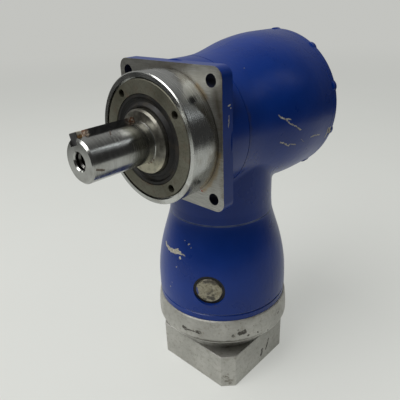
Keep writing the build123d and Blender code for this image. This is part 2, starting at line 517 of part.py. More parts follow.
bearing("front_bearing", OUT, -50.0, -32.0, 17.52, 30.98, 4.4, 14, "balls")
bearing("rear_bearing", OUT, 38.0, 53.0, 12.52, 26.0, 3.9, 11, "balls")
bearing("upper_input_bearing", INP, 121.0, 133.0, 12.52, 23.48, 3.2, 12, "balls")
bearing("lower_input_bearing", INP, 104.0, 116.0, 12.52, 23.48, 3.2, 12, "balls")

with BuildPart() as input_outer_spacer:
    turn(INP, [(116.0, 20.6), (116.0, 23.45), (121.0, 23.45), (121.0, 20.6)])
finish(input_outer_spacer, "input_outer_spacer")

with BuildPart() as input_inner_spacer:
    turn(INP, [(116.0, 12.52), (116.0, 15.4), (121.0, 15.4), (121.0, 12.52)])
finish(input_inner_spacer, "input_inner_spacer")
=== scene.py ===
import math

import bmesh
import bpy
from mathutils import Matrix, Vector

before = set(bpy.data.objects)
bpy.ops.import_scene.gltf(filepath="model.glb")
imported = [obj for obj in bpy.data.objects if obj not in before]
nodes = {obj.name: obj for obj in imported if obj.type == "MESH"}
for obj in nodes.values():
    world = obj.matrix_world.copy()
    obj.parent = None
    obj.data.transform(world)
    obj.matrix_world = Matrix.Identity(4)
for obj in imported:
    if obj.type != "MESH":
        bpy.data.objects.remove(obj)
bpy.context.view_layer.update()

MM = 0.001


# ---------------------------------------------------------------- node helpers
class Graph:
    """A material built from nodes, with short names for the usual ones."""

    def __init__(self, name):
        self.mat = bpy.data.materials.new(name)
        self.mat.use_nodes = True
        self.nt = self.mat.node_tree
        self.nt.nodes.clear()
        self.out = self.nt.nodes.new("ShaderNodeOutputMaterial")
        self.bsdf = self.nt.nodes.new("ShaderNodeBsdfPrincipled")
        self.nt.links.new(self.bsdf.outputs["BSDF"], self.out.inputs["Surface"])
        coord = self.nt.nodes.new("ShaderNodeTexCoord")
        self.p = coord.outputs["Object"]

    def put(self, socket, value):
        if isinstance(value, bpy.types.NodeSocket):
            self.nt.links.new(value, socket)
        elif value is not None:
            if socket.type == "RGBA" and len(value) == 3:
                value = (*value, 1.0)
            socket.default_value = value

    def math(self, op, a, b=None, c=None, clamp=False):
        n = self.nt.nodes.new("ShaderNodeMath")
        n.operation, n.use_clamp = op, clamp
        for i, v in enumerate((a, b, c)):
            if v is not None:
                self.put(n.inputs[i], v)
        return n.outputs[0]

    def vmath(self, op, a, b=None, scale=None):
        n = self.nt.nodes.new("ShaderNodeVectorMath")
        n.operation = op
        self.put(n.inputs[0], a)
        if b is not None:
            self.put(n.inputs[1], b)
        if scale is not None:
            self.put(n.inputs["Scale"], scale)
        return n.outputs["Value"] if op in ("LENGTH", "DOT_PRODUCT", "DISTANCE") else n.outputs["Vector"]

    def split(self, v):
        n = self.nt.nodes.new("ShaderNodeSeparateXYZ")
        self.put(n.inputs[0], v)
        return n.outputs[0], n.outputs[1], n.outputs[2]

    def join(self, x, y, z):
        n = self.nt.nodes.new("ShaderNodeCombineXYZ")
        for i, v in enumerate((x, y, z)):
            self.put(n.inputs[i], v)
        return n.outputs[0]

    def noise(self, scale, detail=3.0, rough=0.55, distort=0.0, vec=None, color=False):
        n = self.nt.nodes.new("ShaderNodeTexNoise")
        self.put(n.inputs["Vector"], self.p if vec is None else vec)
        n.inputs["Scale"].default_value = scale
        n.inputs["Detail"].default_value = detail
        n.inputs["Roughness"].default_value = rough
        n.inputs["Distortion"].default_value = distort
        return n.outputs["Color"] if color else n.outputs["Fac"]

    def cells(self, scale, vec=None, feature="F1"):
        n = self.nt.nodes.new("ShaderNodeTexVoronoi")
        n.feature = feature
        self.put(n.inputs["Vector"], self.p if vec is None else vec)
        n.inputs["Scale"].default_value = scale
        return n.outputs["Distance"]

    def span(self, v, a, b, lo=0.0, hi=1.0, smooth=False):
        n = self.nt.nodes.new("ShaderNodeMapRange")
        n.clamp = True
        if smooth:
            n.interpolation_type = "SMOOTHSTEP"
        self.put(n.inputs[0], v)
        for i, x in enumerate((a, b, lo, hi)):
            self.put(n.inputs[i + 1], x)
        return n.outputs[0]

    def mix(self, fac, a, b, blend="MIX"):
        n = self.nt.nodes.new("ShaderNodeMix")
        n.data_type, n.blend_type = "RGBA", blend
        self.put(n.inputs[0], fac)
        self.put(n.inputs[6], a)
        self.put(n.inputs[7], b)
        return n.outputs[2]

    def blend(self, fac, a, b):
        n = self.nt.nodes.new("ShaderNodeMix")
        n.data_type = "FLOAT"
        self.put(n.inputs[0], fac)
        self.put(n.inputs[2], a)
        self.put(n.inputs[3], b)
        return n.outputs[0]

    def stretched(self, sx, sy, sz):
        return self.vmath("MULTIPLY", self.p, (sx, sy, sz))

    def wobble(self, amount_mm, scale, detail=3.0):
        """The position, pushed about by noise, so that a mask's edge is ragged."""
        c = self.noise(scale, detail, 0.6, color=True)
        c = self.vmath("SUBTRACT", c, (0.5, 0.5, 0.5))
        return self.vmath("ADD", self.p, self.vmath("SCALE", c, scale=amount_mm * MM))

    def strokes(self, p, items):
        """Distance in metres to the nearest of some rounded strokes, each (start, end, radius) in mm. Negative inside."""
        best = None
        for a, b, r in items:
            a, b = Vector(a) * MM, Vector(b) * MM
            ba = b - a
            pa = self.vmath("SUBTRACT", p, tuple(a))
            if ba.length > 1e-6:
                h = self.math("MULTIPLY", self.vmath("DOT_PRODUCT", pa, tuple(ba)), 1 / ba.length_squared, clamp=True)
                pa = self.vmath("SUBTRACT", pa, self.vmath("SCALE", tuple(ba), scale=h))
            d = self.math("SUBTRACT", self.vmath("LENGTH", pa), r * MM)
            best = d if best is None else self.math("MINIMUM", best, d)
        return best

    def mask(self, d, soft_mm=0.12):
        return self.span(d, soft_mm * MM, -soft_mm * MM, 0.0, 1.0)

    def bump(self, height, distance_mm, strength=1.0, normal=None):
        n = self.nt.nodes.new("ShaderNodeBump")
        n.inputs["Strength"].default_value = strength
        n.inputs["Distance"].default_value = distance_mm * MM
        self.put(n.inputs["Height"], height)
        if normal is not None:
            self.put(n.inputs["Normal"], normal)
        return n.outputs["Normal"]

    def finish(self, color, rough, metal=None, normal=None, **sockets):
        b = self.bsdf.inputs
        self.put(b["Base Color"], color)
        self.put(b["Roughness"], rough)
        if metal is not None:
            self.put(b["Metallic"], metal)
        if normal is not None:
            self.put(b["Normal"], normal)
        for k, v in sockets.items():
            self.put(b[k.replace("_", " ")], v)
        return self.mat


def lin(r, g, b):
    """A colour given in display values 0-255, as the linear values that nodes take."""
    f = lambda c: c / 255 / 12.92 if c / 255 <= 0.04045 else ((c / 255 + 0.055) / 1.055) ** 2.4
    return (f(r), f(g), f(b))


# ---------------------------------------------------------------- materials
BLUE = (0.0018, 0.0310, 0.225)
BLUE_DARK = (0.0013, 0.0245, 0.185)
BLUE_PALE = (0.0055, 0.0470, 0.265)


def blue_paint(name, chips=(), grime=(), painted_highlight_heights=()):
    """Satin enamel over a sand casting, with chips down to grey primer and metal."""
    g = Graph(name)
    broad = g.noise(28, 4, 0.6)
    mid = g.noise(170, 4, 0.6)
    fine = g.noise(1400, 3, 0.6)
    col = g.mix(g.span(broad, 0.36, 0.66), BLUE_DARK, BLUE)
    col = g.mix(g.span(mid, 0.62, 0.86, 0, 0.35), col, BLUE_PALE)
    # dust lying in the satin surface
    dust = g.span(g.noise(420, 5, 0.7), 0.63, 0.80, 0, 0.10)
    col = g.mix(dust, col, lin(86, 92, 112))
    rough = g.blend(g.span(broad, 0.3, 0.7), 0.24, 0.36)
    rough = g.blend(dust, rough, 0.7)
    # pin-prick chips everywhere, very few
    specks = g.span(g.cells(165, g.wobble(1.2, 500)), 0.050, 0.036)
    specks = g.math("MULTIPLY", specks, g.span(g.noise(60, 2), 0.60, 0.66))
    chip = specks
    if chips:
        d = g.strokes(g.wobble(2.3, 760, 5), chips)
        chip = g.math("MAXIMUM", chip, g.mask(d, 0.10))
        edge = g.math("SUBTRACT", g.mask(g.math("SUBTRACT", d, 0.30 * MM), 0.2), g.mask(d, 0.10), clamp=True)
        col = g.mix(g.math("MULTIPLY", edge, 0.6), col, BLUE_DARK)
    primer = g.mix(g.span(g.noise(700, 4, 0.7), 0.35, 0.65), lin(150, 146, 132), lin(205, 201, 186))
    primer = g.mix(g.span(g.noise(330, 3), 0.58, 0.70, 0, 0.7), primer, lin(110, 96, 76))
    col = g.mix(chip, col, primer)
    # painted highlight: a thin pale band round the body at each given height, where a seam or step catches the light
    if painted_highlight_heights:
        x, y, z = g.split(g.p)
        for height in painted_highlight_heights:
            off = g.math("ABSOLUTE", g.math("SUBTRACT", z, height * MM))
            painted_highlight = g.span(off, 0.42 * MM, 0.20 * MM, 0.0, 0.85)
            painted_highlight = g.math("MULTIPLY", painted_highlight, g.span(g.noise(130, 4, 0.6), 0.34, 0.56, 0.35, 1.0))
            col = g.mix(painted_highlight, col, lin(104, 116, 146))
    if grime:
        d = g.strokes(g.wobble(3.0, 260, 4), grime)
        m = g.mask(d, 1.2)
        m = g.math("MULTIPLY", m, g.span(g.noise(300, 4, 0.7), 0.35, 0.62))
        col = g.mix(g.math("MULTIPLY", m, 0.55), col, lin(58, 52, 44))
    rough = g.blend(chip, rough, 0.62)
    h = g.math("MULTIPLY", g.noise(240, 4, 0.55), 1.0)
    n = g.bump(h, 0.16, 0.75)
    n = g.bump(fine, 0.012, 0.6, n)
    n = g.bump(g.math("SUBTRACT", 1.0, chip), 0.10, 0.9, n)
    return g.finish(col, rough, None, n, Specular_IOR_Level=0.27)


def flange_material():
    """Blue on the sides and back, bare milled steel on the mounting face, ground steel on the pilot."""
    g = Graph("flange_bare_and_blue")
    x, y, z = g.split(g.p)
    zc = g.math("SUBTRACT", z, 0.175)
    r = g.math("SQRT", g.math("ADD", g.math("MULTIPLY", x, x), g.math("MULTIPLY", zc, zc)))
    # bare where y is in front of the paint line, which wanders a little along the edge
    line = g.span(g.noise(330, 3), 0.2, 0.8, -0.04095, -0.04045)
    bare = g.math("LESS_THAN", y, line)
    bare_s = bare
    pilot = g.math("MULTIPLY", g.math("LESS_THAN", r, 0.03525), g.math("LESS_THAN", y, -0.04105))
    # paint
    broad = g.noise(28, 4, 0.6)
    blue = g.mix(g.span(broad, 0.36, 0.66), BLUE_DARK, BLUE)
    dust = g.span(g.noise(420, 5, 0.7), 0.60, 0.80, 0, 0.14)
    blue = g.mix(dust, blue, lin(86, 92, 112))
    chips = g.strokes(g.wobble(1.4, 700, 4), FLANGE_CHIPS)
    chip = g.mask(chips, 0.10)
    primer = g.mix(g.span(g.noise(700, 4, 0.7), 0.35, 0.65), lin(150, 146, 132), lin(205, 201, 186))
    blue = g.mix(chip, blue, primer)
    # bare face: lines left by the cutter, oil film, brown stain
    lay = g.noise(1.0, 3, 0.6, vec=g.stretched(120, 120, 2600))
    lay2 = g.noise(1.0, 2, 0.5, vec=g.stretched(900, 900, 900))
    steel = g.mix(g.span(lay, 0.3, 0.7), lin(138, 138, 134), lin(188, 188, 184))
    steel = g.mix(g.span(g.noise(55, 4, 0.65), 0.44, 0.70, 0, 0.35), steel, lin(132, 130, 122))
    # darker towards the top, lighter below
    darker_top = g.math("MULTIPLY", g.span(z, 0.176, 0.202, 0.0, 0.50, True), g.span(g.noise(120, 4, 0.6), 0.30, 0.60, 0.55, 1.0))
    steel = g.mix(darker_top, steel, lin(86, 84, 76))
    oil = g.mask(g.strokes(g.wobble(5.0, 120, 4), FLANGE_OIL), 1.6)
    oil = g.math("MULTIPLY", oil, g.span(g.noise(260, 4, 0.7), 0.30, 0.62, 0.25, 1.0))
    steel = g.mix(g.math("MULTIPLY", oil, 0.75), steel, lin(84, 74, 58))
    soot = g.mask(g.strokes(g.wobble(4.0, 150, 4), FLANGE_SOOT), 2.6)
    steel = g.mix(g.math("MULTIPLY", soot, 0.78), steel, lin(62, 58, 48))
    gold = g.mask(g.strokes(g.wobble(3.0, 240, 4), FLANGE_GOLD), 1.1)
    steel = g.mix(g.math("MULTIPLY", gold, 0.6), steel, lin(150, 122, 70))
    red = g.mask(g.strokes(g.wobble(0.5, 900, 3), FLANGE_RED), 0.15)
    steel = g.mix(red, steel, lin(150, 40, 30))
    pits = g.span(g.cells(420, g.wobble(1.0, 500)), 0.16, 0.10)
    pits = g.math("MULTIPLY", pits, g.span(g.noise(90, 3), 0.52, 0.62))
    steel = g.mix(g.math("MULTIPLY", pits, 0.7), steel, lin(60, 52, 42))
    # pilot: ground round, so the marks run round it
    rings = g.noise(1.0, 2, 0.5, vec=g.stretched(60, 5200, 60))
    bright = g.mix(g.span(rings, 0.3, 0.7), lin(150, 152, 150), lin(196, 197, 194))
    film = g.span(g.noise(75, 4, 0.65), 0.50, 0.72, 0, 0.55)
    bright = g.mix(film, bright, lin(98, 88, 66))
    root = g.span(y, -0.0432, -0.0412, 0, 0.75)
    bright = g.mix(root, bright, lin(66, 56, 42))
    metal_col = g.mix(pilot, steel, bright)
    col = g.mix(bare, blue, metal_col)
    rough_face = g.blend(g.span(lay, 0.3, 0.7), 0.34, 0.50)
    rough_face = g.blend(oil, rough_face, 0.30)
    rough_pilot = g.blend(g.span(rings, 0.3, 0.7), 0.17, 0.28)
    rough_pilot = g.blend(film, rough_pilot, 0.4)
    rough = g.blend(bare, g.blend(chip, 0.30, 0.62), g.blend(pilot, rough_face, rough_pilot))
    # painted shade: the walls inside the bolt holes are coloured near black
    hx = g.math("SUBTRACT", g.math("ABSOLUTE", x), 0.03075)
    hz = g.math("SUBTRACT", g.math("ABSOLUTE", zc), 0.03075)
    hole = g.math("SQRT", g.math("ADD", g.math("MULTIPLY", hx, hx), g.math("MULTIPLY", hz, hz)))
    hole = g.math("MULTIPLY", g.math("LESS_THAN", hole, 0.00345), g.math("GREATER_THAN", y, -0.04098))
    col = g.mix(g.math("MULTIPLY", hole, 0.92), col, lin(22, 22, 24))
    rough = g.blend(hole, rough, 0.7)
    metal = g.blend(bare, 0.0, g.blend(pilot, 0.85, 1.0))
    metal = g.math("MULTIPLY", metal, g.span(oil, 0, 1, 1.0, 0.65))
    n = g.bump(g.blend(bare, g.noise(240, 4), lay), 0.05, 0.6)
    n = g.bump(g.blend(pilot, lay2, rings), 0.006, 0.5, n)
    n = g.bump(g.math("SUBTRACT", 1.0, g.math("MAXIMUM", chip, pits)), 0.06, 0.8, n)
    return g.finish(col, rough, metal, n, Specular_IOR_Level=0.27)


def cast_aluminium():
    """Raw sand-cast and milled aluminium, with dark handling marks."""
    g = Graph("cast_aluminium_adapter")
    broad = g.noise(42, 5, 0.62)
    grain = g.noise(650, 4, 0.65)
    col = g.mix(g.span(broad, 0.34, 0.68), lin(164, 163, 157), lin(190, 189, 183))
    col = g.mix(g.span(grain, 0.56, 0.78, 0, 0.45), col, lin(128, 126, 119))
    mottle = g.span(g.noise(270, 5, 0.7), 0.52, 0.68, 0, 0.50)
    col = g.mix(mottle, col, lin(126, 122, 108))
    streak = g.noise(1.0, 4, 0.65, vec=g.stretched(150, 150, 1100))
    col = g.mix(g.span(streak, 0.60, 0.74, 0, 0.45), col, lin(120, 117, 108))
    blots = g.mask(g.strokes(g.wobble(2.6, 520, 4), ADAPTER_BLOTS), 0.22)
    blots = g.math("MULTIPLY", blots, g.span(g.noise(520, 4, 0.7), 0.28, 0.50))
    col = g.mix(g.math("MULTIPLY", blots, 0.85), col, lin(52, 47, 40))
    brown = g.mask(g.strokes(g.wobble(1.8, 420, 4), ADAPTER_BROWN), 0.35)
    brown = g.math("MULTIPLY", brown, g.span(g.noise(620, 4, 0.7), 0.36, 0.56))
    col = g.mix(g.math("MULTIPLY", brown, 0.65), col, lin(92, 84, 68))
    specks = g.span(g.cells(230, g.wobble(1.2, 500)), 0.085, 0.055)
    specks = g.math("MULTIPLY", specks, g.span(g.noise(70, 3), 0.52, 0.60))
    col = g.mix(g.math("MULTIPLY", specks, 0.75), col, lin(84, 76, 62))
    x, y, z = g.split(g.p)
    # painted shade: the neck under the overhanging ring, and faintly the ledge at its foot, coloured dark grey
    under_ring_shade = g.math("MULTIPLY", g.span(z, 0.02535, 0.02565), g.span(z, 0.0400, 0.0385))
    under_ring_shade = g.math("MULTIPLY", under_ring_shade, g.span(g.noise(160, 4, 0.6), 0.30, 0.60, 0.45, 1.0))
    col = g.mix(g.math("MULTIPLY", under_ring_shade, 0.42), col, lin(66, 64, 59))
    r = g.math("SQRT", g.math("ADD", g.math("MULTIPLY", x, x), g.math("MULTIPLY", y, y)))
    # painted reflection: the downward-facing chamfer under the ring, coloured near white as if it mirrored the floor
    chamfer_reflection = g.math("MULTIPLY", g.span(z, 0.0383, 0.0388), g.span(z, 0.0409, 0.0405))
    chamfer_reflection = g.math("MULTIPLY", chamfer_reflection, g.span(r, 0.0426, 0.0430))
    col = g.mix(chamfer_reflection, col, lin(226, 225, 219))
    # a darker band just above the ring's lower edge, on the side that faces the front
    front = g.span(g.vmath("DOT_PRODUCT", g.p, (0.62, -0.78, 0.0)), 0.034, 0.044)
    front_dark_band = g.math("MULTIPLY", g.span(z, 0.0404, 0.0407), g.span(g.math("ADD", z, g.math("MULTIPLY", g.noise(240, 3), -0.0022)), 0.0414, 0.0402))
    front_dark_band = g.math("MULTIPLY", g.math("MULTIPLY", front_dark_band, g.span(r, 0.0420, 0.0426)), front)
    col = g.mix(g.math("MULTIPLY", front_dark_band, 0.75), col, lin(58, 54, 44))
    rough = g.blend(g.span(grain, 0.3, 0.7), 0.42, 0.60)
    rough = g.blend(blots, rough, 0.72)
    n = g.bump(grain, 0.05, 0.6)
    n = g.bump(g.noise(190, 3), 0.10, 0.5, n)
    n = g.bump(g.math("SUBTRACT", 1.0, specks), 0.05, 0.7, n)
    return g.finish(col, rough, 0.6, n)


def rusty_ring():
    """Matt steel ring that has stood in the damp: grey-brown skin with rust where the groove holds water."""
    g = Graph("weathered_ring")
    x, y, z = g.split(g.p)
    zc = g.math("SUBTRACT", z, 0.175)
    r = g.math("SQRT", g.math("ADD", g.math("MULTIPLY", x, x), g.math("MULTIPLY", zc, zc)))
    broad = g.noise(60, 5, 0.65)
    fine = g.noise(900, 4, 0.7)
    col = g.mix(g.span(broad, 0.34, 0.66), lin(90, 89, 76), lin(118, 117, 105))
    col = g.mix(g.span(fine, 0.52, 0.72, 0, 0.6), col, lin(74, 66, 52))
    rust = g.span(g.noise(230, 5, 0.7), 0.54, 0.70)
    edge = g.math("MAXIMUM", g.span(r, 0.0300, 0.0318, 0.0, 0.8), g.span(r, 0.0258, 0.0244, 0, 0.6))
    rust = g.math("MULTIPLY", rust, g.math("MAXIMUM", edge, 0.30))
    col = g.mix(rust, col, lin(92, 56, 32))
    rough = g.blend(g.span(fine, 0.3, 0.7), 0.44, 0.62)
    rough = g.blend(rust, rough, 0.85)
    n = g.bump(fine, 0.03, 0.7)
    n = g.bump(g.noise(1.0, 2, 0.5, vec=g.stretched(300, 300, 300)), 0.05, 0.4, n)
    return g.finish(col, rough, g.span(rust, 0, 1, 0.8, 0.15), n)


def turned(name, dark, light, rough, axis="y", stain=None, stain_amount=0.4, metal=1.0, centre=(0, 0), marks=5200):
    """Turned or ground steel: tool marks run round the axis, with a patchy film over them."""
    g = Graph(name)
    s = {"x": (marks, 70, 70), "y": (70, marks, 70), "z": (70, 70, marks)}[axis]
    rings = g.noise(1.0, 2, 0.55, vec=g.stretched(*s))
    col = g.mix(g.span(rings, 0.3, 0.7), dark, light)
    film = g.span(g.noise(95, 5, 0.65), 0.50, 0.72, 0, stain_amount)
    col = g.mix(film, col, stain or lin(92, 84, 68))
    specks = g.span(g.cells(330, g.wobble(0.9, 600)), 0.10, 0.06)
    specks = g.math("MULTIPLY", specks, g.span(g.noise(120, 3), 0.55, 0.62))
    col = g.mix(g.math("MULTIPLY", specks, 0.6), col, lin(52, 42, 32))
    rr = g.blend(g.span(rings, 0.3, 0.7), rough, rough + 0.10)
    rr = g.blend(film, rr, rough + 0.28)
    n = g.bump(rings, 0.006, 0.6)
    n = g.bump(g.noise(500, 3), 0.006, 0.4, n)
    return g.finish(col, rr, metal, n)


def shaft_steel():
    """Ground shaft with a greasy collar: the collar behind y -61 is duller and darker than the journal."""
    g = Graph("ground_shaft")
    x, y, z = g.split(g.p)
    rings = g.noise(1.0, 2, 0.55, vec=g.stretched(70, 5600, 70))
    col = g.mix(g.span(rings, 0.3, 0.7), lin(146, 147, 144), lin(186, 187, 184))
    film = g.span(g.noise(110, 5, 0.65), 0.48, 0.72, 0, 0.35)
    col = g.mix(film, col, lin(112, 109, 98))
    zc = g.math("SUBTRACT", z, 0.175)
    r = g.math("SQRT", g.math("ADD", g.math("MULTIPLY", x, x), g.math("MULTIPLY", zc, zc)))
    collar = g.math("MULTIPLY", g.math("GREATER_THAN", y, -0.0622), g.math("GREATER_THAN", r, 0.0112))
    grease = g.mix(g.span(g.noise(260, 4, 0.6), 0.35, 0.65), lin(84, 82, 75), lin(126, 124, 116))
    # paler on the collar's lower side, below the axis
    paler_underside = g.math("MULTIPLY", g.span(z, 0.1700, 0.1640), g.span(g.noise(300, 3), 0.34, 0.50, 0.4, 1.0))
    grease = g.mix(paler_underside, grease, lin(178, 174, 154))
    col = g.mix(collar, col, grease)
    # painted shade: the walls of the centre hole in the shaft end are coloured dark
    hole = g.math("LESS_THAN", r, 0.0053)
    hole = g.math("MULTIPLY", hole, g.math("GREATER_THAN", y, -0.0969))
    col = g.mix(g.math("MULTIPLY", hole, 0.75), col, lin(40, 36, 32))
    nick = g.mask(g.strokes(g.wobble(1.0, 700, 4), SHAFT_STAINS), 0.25)
    col = g.mix(g.math("MULTIPLY", nick, 0.7), col, lin(88, 62, 42))
    rr = g.blend(g.span(rings, 0.3, 0.7), 0.16, 0.26)
    rr = g.blend(film, rr, 0.42)
    rr = g.blend(collar, rr, 0.38)
    rr = g.blend(nick, rr, 0.6)
    n = g.bump(rings, 0.006, 0.6)
    n = g.bump(g.noise(500, 3), 0.008, 0.4, n)
    return g.finish(col, rr, g.blend(collar, 1.0, 0.85), n)


def key_steel():
    """Blackened key with rust coming through at its ends, and a painted highlight at the notch."""
    g = Graph("black_key")
    fine = g.noise(1100, 4, 0.65)
    col = g.mix(g.span(g.noise(300, 4, 0.6), 0.35, 0.65), lin(44, 44, 46), lin(74, 74, 74))
    x, y, z = g.split(g.p)
    # rust at the notch and at the inner end, mixed from brown and pale; at the notch the pale part is also a painted
    # highlight that lightens it
    notch_rust_and_highlight = g.math("MULTIPLY", g.span(y, -0.0951, -0.0943), g.span(y, -0.0899, -0.0908))
    ends = g.math("MAXIMUM", notch_rust_and_highlight, g.span(y, -0.0700, -0.0655))
    rust = g.math("MULTIPLY", ends, g.span(g.noise(520, 4, 0.7), 0.36, 0.54))
    col = g.mix(rust, col, g.mix(g.span(g.noise(900, 3), 0.45, 0.60), lin(112, 72, 44), lin(176, 166, 150)))
    # painted highlight: a light patch that stands for the lit notch, lying towards the tip just in front of the cut
    # notch, brown near the shaft and near white further out
    notch_highlight_patch = g.math("MULTIPLY", g.span(y, -0.0971, -0.0966), g.span(y, -0.0936, -0.0942))
    notch_highlight_patch = g.math("MULTIPLY", notch_highlight_patch, g.span(g.noise(700, 3), 0.30, 0.45, 0.35, 1.0))
    zc = g.math("SUBTRACT", z, 0.175)
    out = g.math("SQRT", g.math("ADD", g.math("MULTIPLY", x, x), g.math("MULTIPLY", zc, zc)))
    col = g.mix(notch_highlight_patch, col, g.mix(g.span(out, 0.0118, 0.0127), lin(170, 130, 80), lin(206, 200, 184)))
    scuff = g.span(g.noise(1.0, 3, 0.6, vec=g.stretched(1500, 160, 1500)), 0.60, 0.72, 0, 0.5)
    col = g.mix(scuff, col, lin(92, 90, 86))
    rough = g.blend(rust, g.blend(g.span(fine, 0.3, 0.7), 0.30, 0.46), 0.8)
    n = g.bump(fine, 0.012, 0.6)
    n = g.bump(rust, 0.05, 0.5, n)
    return g.finish(col, rough, g.blend(rust, 0.55, 0.1), n)


def rubber(name, base, dusty):
    g = Graph(name)
    fine = g.noise(1300, 4, 0.65)
    broad = g.noise(150, 4, 0.65)
    col = g.mix(g.span(fine, 0.35, 0.70), base, dusty)
    col = g.mix(g.span(broad, 0.52, 0.70, 0, 0.5), col, lin(62, 54, 42))
    rough = g.blend(g.span(broad, 0.3, 0.7), 0.45, 0.68)
    n = g.bump(fine, 0.02, 0.7)
    n = g.bump(broad, 0.03, 0.5, n)
    return g.finish(col, rough, None, n, Specular_IOR_Level=0.32)


def plug_cap():
    """Bright cap with dark smudges, a painted shade along its top, and a trace of blue overspray on one side."""
    g = Graph("plug_cap_bright")
    fine = g.noise(1.0, 3, 0.6, vec=g.stretched(700, 700, 700))
    col = g.mix(g.span(fine, 0.3, 0.7), lin(116, 111, 95), lin(160, 155, 139))
    # dark smudges, and painted shade along the top of the cap
    smudge_and_shade = g.mask(g.strokes(g.wobble(3.2, 420, 4), PLUG_SMUDGES_AND_SHADE), 0.55)
    smudge_and_shade = g.math("MULTIPLY", smudge_and_shade, g.span(g.noise(520, 4, 0.7), 0.25, 0.48))
    col = g.mix(g.math("MULTIPLY", smudge_and_shade, 0.85), col, lin(44, 40, 34))
    film = g.span(g.noise(240, 4, 0.65), 0.50, 0.68, 0, 0.55)
    col = g.mix(film, col, lin(112, 104, 84))
    paint = g.mask(g.strokes(g.wobble(1.6, 620, 4), PLUG_PAINT), 0.20)
    col = g.mix(g.math("MULTIPLY", paint, 0.9), col, lin(36, 58, 128))
    rough = g.blend(g.span(fine, 0.3, 0.7), 0.24, 0.38)
    rough = g.blend(smudge_and_shade, rough, 0.62)
    rough = g.blend(paint, rough, 0.45)
    n = g.bump(g.noise(330, 3), 0.06, 0.6)
    n = g.bump(fine, 0.008, 0.5, n)
    return g.finish(col, rough, g.math("SUBTRACT", 1.0, g.math("MAXIMUM", smudge_and_shade, paint), clamp=True), n)


def screw_black(name="screw_black_oxide"):
    g = Graph(name)
    fine = g.noise(1500, 4, 0.65)
    broad = g.noise(380, 4, 0.6)
    col = g.mix(g.span(broad, 0.35, 0.65), lin(30, 30, 32), lin(58, 57, 56))
    wear = g.span(g.noise(700, 4, 0.7), 0.60, 0.72, 0, 0.7)
    col = g.mix(wear, col, lin(126, 122, 114))
    rough = g.blend(g.span(fine, 0.3, 0.7), 0.34, 0.5)
    n = g.bump(fine, 0.012, 0.6)
    return g.finish(col, rough, 0.85, n)


def gear_steel():
    """Case-hardened gear steel: heat-tinted body with polished flanks and an oil film."""
    g = Graph("gear_case_hardened")
    broad = g.noise(130, 4, 0.6)
    fine = g.noise(1.0, 3, 0.6, vec=g.stretched(1600, 1600, 1600))
    col = g.mix(g.span(broad, 0.35, 0.66), lin(98, 97, 98), lin(142, 140, 136))
    col = g.mix(g.span(g.noise(60, 3), 0.52, 0.68, 0, 0.5), col, lin(112, 92, 66))
    col = g.mix(g.span(fine, 0.6, 0.75, 0, 0.4), col, lin(60, 58, 56))
    rough = g.blend(g.span(broad, 0.3, 0.7), 0.22, 0.36)
    n = g.bump(fine, 0.006, 0.6)
    n = g.bump(broad, 0.02, 0.3, n)
    return g.finish(col, rough, 1.0, n)


def brass_cage():
    g = Graph("cage_machined_brass")
    broad = g.noise(160, 4, 0.6)
    fine = g.noise(1300, 3, 0.6)
    col = g.mix(g.span(broad, 0.35, 0.66), (0.47, 0.30, 0.10), (0.62, 0.43, 0.16))
    col = g.mix(g.span(fine, 0.58, 0.76, 0, 0.4), col, (0.22, 0.14, 0.06))
    rough = g.blend(g.span(fine, 0.3, 0.7), 0.26, 0.42)
    return g.finish(col, rough, 1.0, g.bump(fine, 0.008, 0.5))


# ---------------------------------------------------------------- marks on the surfaces, (start, end, radius) in mm
def chain(radius, *points):
    """Strokes from point to point."""
    return [(p, q, radius) for p, q in zip(points, points[1:])]


def dot(point, radius):
    return [(point, point, radius)]


BELL_CHIPS = (
    chain(0.75, (-17.3, -34.8, 97.9), (-15.6, -35.9, 96.6), (-13.2, -36.9, 96.9))
    + chain(1.05, (-13.2, -36.9, 96.7), (-10.4, -38.0, 96.2))
    + chain(1.45, (-9.2, -38.2, 96.4), (-6.4, -38.6, 96.9), (-3.6, -38.8, 97.3))
    + chain(1.10, (-3.0, -38.7, 97.7), (-0.5, -38.7, 98.1))
    + chain(0.50, (0.0, -38.9, 97.7), (3.8, -38.7, 97.7))
    + chain(0.60, (-4.2, -38.5, 98.5), (-2.6, -38.3, 99.6))
    + dot((0.2, -39.6, 95.0), 0.95)
    + dot((2.0, -36.2, 106.5), 0.30)
    + dot((5.3, -36.2, 105.4), 0.60)
    + dot((7.2, -36.5, 103.4), 0.38)
    + dot((-2.0, -41.1, 88.2), 0.50)
    + dot((-7.5, -42.4, 71.9), 0.42)
    + dot((-5.7, -42.5, 75.9), 0.30)
)
BARREL_CHIPS = (
    chain(0.34, (40.2, 3.1, 181.4), (41.2, 6.0, 179.3), (42.7, 11.8, 177.5))
    + chain(0.36, (41.6, 7.5, 178.7), (42.6, 11.2, 175.4), (43.5, 15.2, 173.3), (44.3, 20.6, 169.9))
    + chain(0.36, (40.2, 6.0, 165.3), (40.6, 9.1, 164.0), (40.9, 13.0, 161.6), (41.4, 14.4, 162.5), (42.0, 19.4, 161.0))
    + chain(0.42, (44.2, 32.6, 162.6), (44.5, 35.9, 162.9), (44.2, 43.1, 161.6))
    + chain(0.14, (43.4, 22.7, 163.8), (43.1, 26.9, 160.8))
    + chain(0.80, (44.6, 53.2, 163.0), (43.7, 53.8, 160.1), (42.7, 53.9, 157.3))
)
COVER_CHIPS = chain(0.9, (44.6, 55.4, 163.1), (43.8, 55.8, 160.4)) + chain(0.5, (44.9, 58.9, 185.0), (45.4, 58.9, 181.0))
FLANGE_CHIPS = chain(0.42, (37.5, -36.3, 193.7), (37.5, -35.0, 194.0)) + dot((37.5, -34.6, 192.4), 0.35) + chain(
    0.22, (37.5, -36.0, 189.0), (37.5, -36.4, 183.0))
